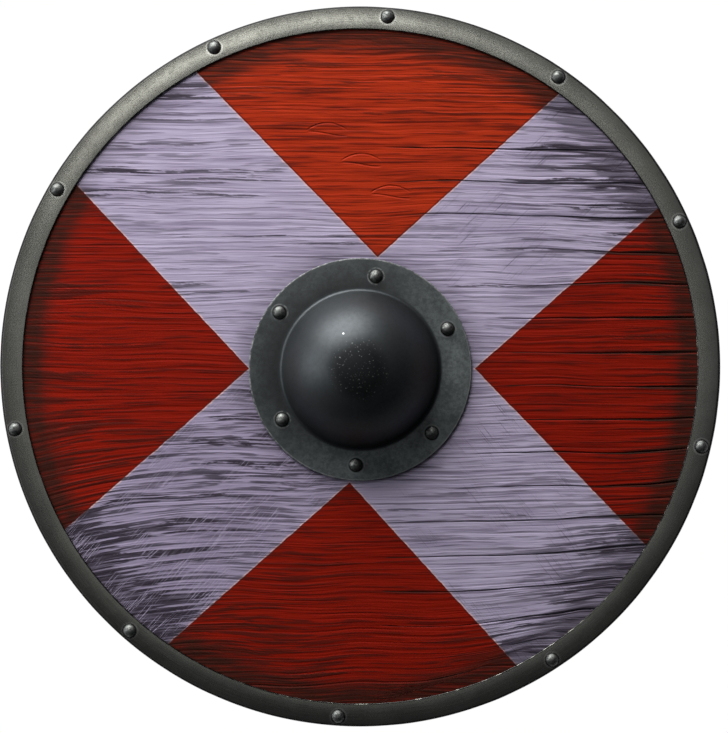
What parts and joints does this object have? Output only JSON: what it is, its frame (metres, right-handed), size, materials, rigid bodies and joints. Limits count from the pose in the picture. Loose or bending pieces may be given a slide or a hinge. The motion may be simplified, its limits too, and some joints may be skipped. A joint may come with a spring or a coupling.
{
  "type": "wooden round shield",
  "caption": "Round wooden shield with a painted saltire, a riveted steel rim, a domed steel boss over the hand hole and a wooden centre grip behind.",
  "frame": {"origin": "on the shield's axis, level with the grip's underside, on which the shield lies", "axes": "+Z out of the face through the boss, +Y towards the shield's top, +X to the right seen from the front"},
  "size_m": [0.61, 0.61, 0.0836],
  "materials": {
    "painted_wood": "white saltire on red, streaky oil paint over carved grain, darkened towards the rim",
    "bare_wood": "dark stained and oiled",
    "rim_steel": "brushed and blackened, with small dings",
    "boss_steel": "blackened and oiled, satin, worn on edges",
    "rivet_steel": "blackened, rubbed bright on the heads"
  },
  "bodies": {
    "root": {"board": "painted_wood", "rim": "rim_steel", "boss": "boss_steel", "grip": "bare_wood", "rim_rivet_1": "rivet_steel", "rim_rivet_2": "rivet_steel", "rim_rivet_3": "rivet_steel", "rim_rivet_4": "rivet_steel", "rim_rivet_5": "rivet_steel", "rim_rivet_6": "rivet_steel", "rim_rivet_7": "rivet_steel", "rim_rivet_8": "rivet_steel", "rim_rivet_9": "rivet_steel", "rim_rivet_10": "rivet_steel", "boss_rivet_1": "rivet_steel", "boss_rivet_2": "rivet_steel", "boss_rivet_3": "rivet_steel", "boss_rivet_4": "rivet_steel", "boss_rivet_5": "rivet_steel", "boss_rivet_6": "rivet_steel"}
  },
  "joints": []
}
